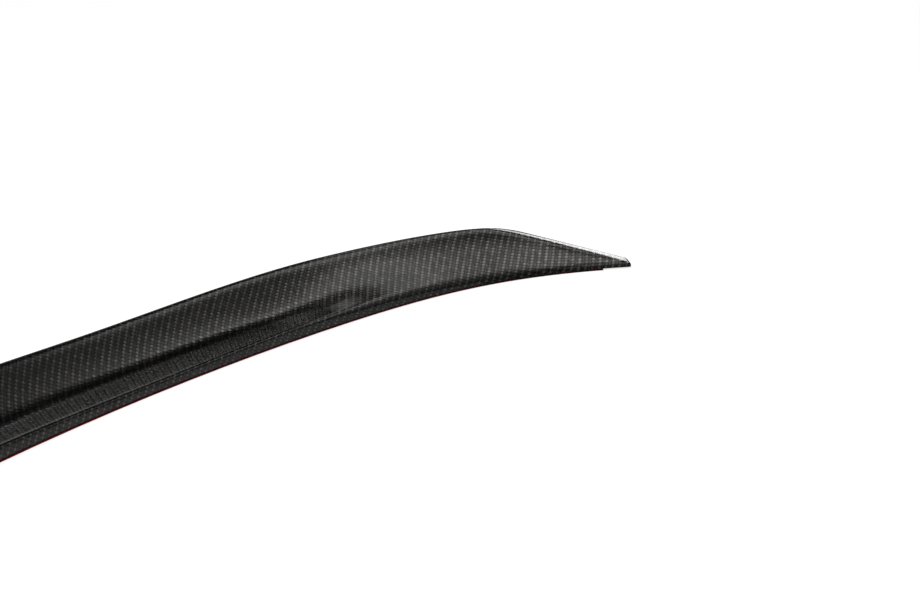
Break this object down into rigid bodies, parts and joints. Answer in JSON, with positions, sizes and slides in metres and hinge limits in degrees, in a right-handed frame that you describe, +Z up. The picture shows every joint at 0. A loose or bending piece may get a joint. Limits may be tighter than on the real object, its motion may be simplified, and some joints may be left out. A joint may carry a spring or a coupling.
{
  "type": "car rear spoiler",
  "caption": "Curved boot lid lip spoiler in glossy carbon twill, with a scooped front face, a raised crest, tapering tips and bonding tape under its flanges.",
  "frame": {"origin": "middle of the front peel-off film's underside, on the mid plane of the spoiler", "axes": "+X across the car along the spoiler's width, +Y to the rear of the car, +Z up off the boot lid"},
  "size_m": [1.1508, 0.184, 0.0453],
  "materials": {
    "carbon_gloss": "black two-by-two twill carbon fibre under a clear gloss coat",
    "tape_foam": "dark grey acrylic foam tape, matte",
    "liner_film": "smooth red peel-off film"
  },
  "bodies": {
    "root": {"spoiler_shell": "carbon_gloss", "front_tape": "tape_foam", "rear_tape": "tape_foam", "front_liner": "liner_film", "rear_liner": "liner_film"}
  },
  "joints": []
}
